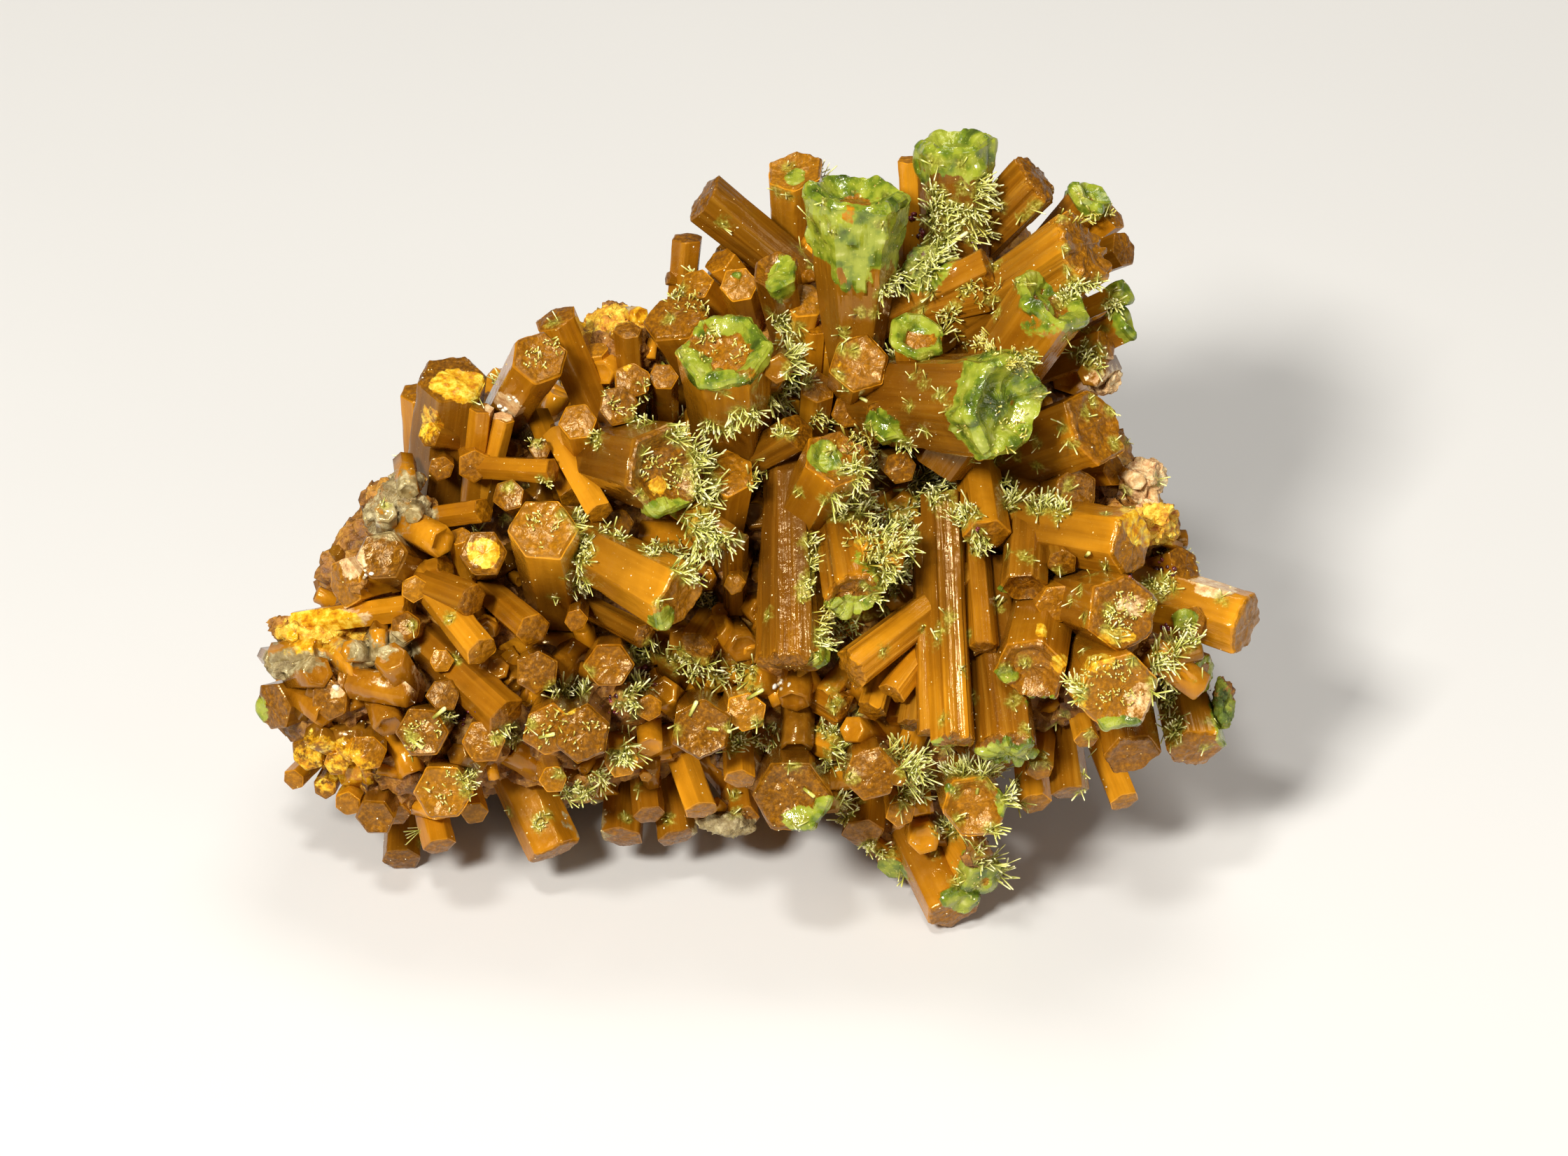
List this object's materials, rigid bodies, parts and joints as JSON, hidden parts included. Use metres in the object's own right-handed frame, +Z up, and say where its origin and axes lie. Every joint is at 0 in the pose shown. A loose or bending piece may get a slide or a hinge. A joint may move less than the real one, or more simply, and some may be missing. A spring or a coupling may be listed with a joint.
{
  "type": "mineral specimen",
  "caption": "Cluster of stout hexagonal pyromorphite prisms radiating from a lump of matrix, brown with green rims and tufts of fine needles.",
  "frame": {"origin": "middle of the footprint's box, on the table it rests on", "axes": "+Z up as it rests, +X along its length, -Y towards the crystal face, which looks up 37 degrees"},
  "size_m": [0.0454, 0.0324, 0.0335],
  "materials": {
    "pyromorphite": "waxy, ochre brown with green ends"
  },
  "bodies": {
    "root": {"crystal_cluster": "pyromorphite"}
  },
  "joints": []
}
